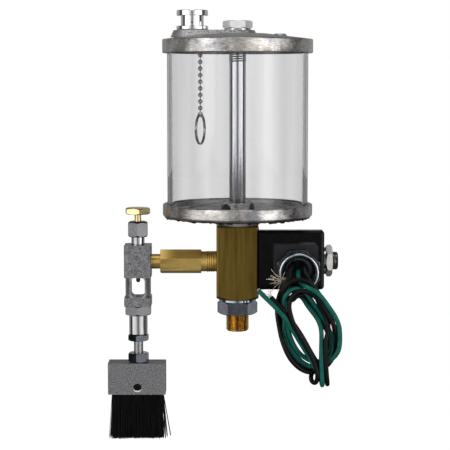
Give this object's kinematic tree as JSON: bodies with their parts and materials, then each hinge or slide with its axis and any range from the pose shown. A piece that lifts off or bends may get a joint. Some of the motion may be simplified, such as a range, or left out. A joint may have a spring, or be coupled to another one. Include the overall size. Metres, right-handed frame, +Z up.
{
  "type": "solenoid chain oil reservoir",
  "caption": "Clear cylindrical oil reservoir on a square solenoid valve, with a sight-feed needle valve, drop tube and oil brush on one side and a coil with wire leads on the other.",
  "frame": {"origin": "centre of the lower end of the mounting stud", "axes": "+Z up along the centre rod and the stud, +X towards the solenoid coil, -Y towards the viewer, with the sight-feed valve and the brush on -X"},
  "size_m": [0.157, 0.1016, 0.2931],
  "materials": {
    "cast_aluminium": "cast, with brushed rims",
    "clear_acrylic": "clear, polished",
    "rod_steel": "polished along its length",
    "chrome": "bright plated",
    "nickel": "bright plated",
    "chain_nickel": "plated wire and beads",
    "zinc": "zinc plated, semi-bright",
    "hub_zinc": "die cast, plated",
    "aged_brass": "brushed, aged dark",
    "nipple_brass": "turned, slightly dull",
    "stud_brass": "threaded, yellow",
    "pale_brass": "pale, dull",
    "grey_aluminium": "turned and milled, satin",
    "brush_aluminium": "matte, fine grained",
    "coil_moulding": "moulded, satin black",
    "rubber": "matte",
    "gasket_rubber": "matte",
    "gasket_fibre": "matte",
    "dark_steel": "dark, oiled",
    "bristle_nylon": "black filaments",
    "black_insulation": "satin, extruded",
    "green_insulation": "satin, extruded",
    "copper_strands": "tinned, twisted strands"
  },
  "bodies": {
    "oiler": {"armature_tube": "dark_steel", "barrel_nut": "zinc", "body_gasket": "gasket_fibre", "bonnet": "grey_aluminium", "bottom_plate": "cast_aluminium", "bristles": "bristle_nylon", "brush_block": "brush_aluminium", "brush_nut": "zinc", "brush_strip": "zinc", "centre_rod": "rod_steel", "coil_housing": "coil_moulding", "coil_nut": "zinc", "coil_washer": "zinc", "conduit_hub": "hub_zinc", "drip_nozzle": "dark_steel", "drop_barrel": "grey_aluminium", "drop_tube": "grey_aluminium", "filler_neck": "chrome", "fixed_core": "dark_steel", "lead_black_a": "black_insulation", "lead_black_b": "black_insulation", "lead_coil": "black_insulation", "lead_green": "green_insulation", "lead_tail_black_a": "black_insulation", "lead_tail_black_b": "black_insulation", "lead_tail_green": "green_insulation", "lead_tip_black_a": "copper_strands", "lead_tip_black_b": "copper_strands", "lead_tip_green": "copper_strands", "lock_nut": "zinc", "lower_gasket": "gasket_rubber", "mounting_nut": "zinc", "mounting_stud": "stud_brass", "mounting_washer": "zinc", "outlet_nipple": "nipple_brass", "packing": "rubber", "packing_nut": "grey_aluminium", "reservoir_cylinder": "clear_acrylic", "return_spring": "dark_steel", "set_screw": "dark_steel", "sight_body": "grey_aluminium", "top_cover": "cast_aluminium", "top_nut": "nickel", "top_washer": "zinc", "upper_gasket": "gasket_rubber", "valve_body": "aged_brass"},
    "cap": {"filler_cap": "chrome", "cap_seal_ring": "rubber", "chain_eye": "chain_nickel", "bead_chain": "chain_nickel", "chain_link": "chain_nickel", "split_ring": "chain_nickel"},
    "needle": {"needle": "pale_brass"},
    "knob": {"knob": "pale_brass"},
    "plunger": {"plunger": "dark_steel", "valve_seal": "rubber"}
  },
  "joints": [
    {"name": "cap_lift", "type": "slide", "parent": "oiler", "child": "cap", "axis": [0, 0, 1], "range_m": [0, 0.0448]},
    {"name": "knob_turn", "type": "hinge", "parent": "needle", "child": "knob", "pos_m": [-0.0679, 0, 0.08], "axis": [0, 0, 1], "range_deg": [0, 1080]},
    {"name": "needle_rise", "type": "slide", "parent": "oiler", "child": "needle", "axis": [0, 0, 1], "range_m": [0, 0.00238]},
    {"name": "plunger_slide", "type": "slide", "parent": "oiler", "child": "plunger", "axis": [1, 0, 0], "range_m": [0, 0.0015], "stiffness_N_per_m": 300, "springref_m": -0.004, "deforming": ["return_spring"]}
  ],
  "couplings": [
    {"joint": "knob_turn", "follows": "needle_rise", "rad_per_m": 7915.8}
  ]
}
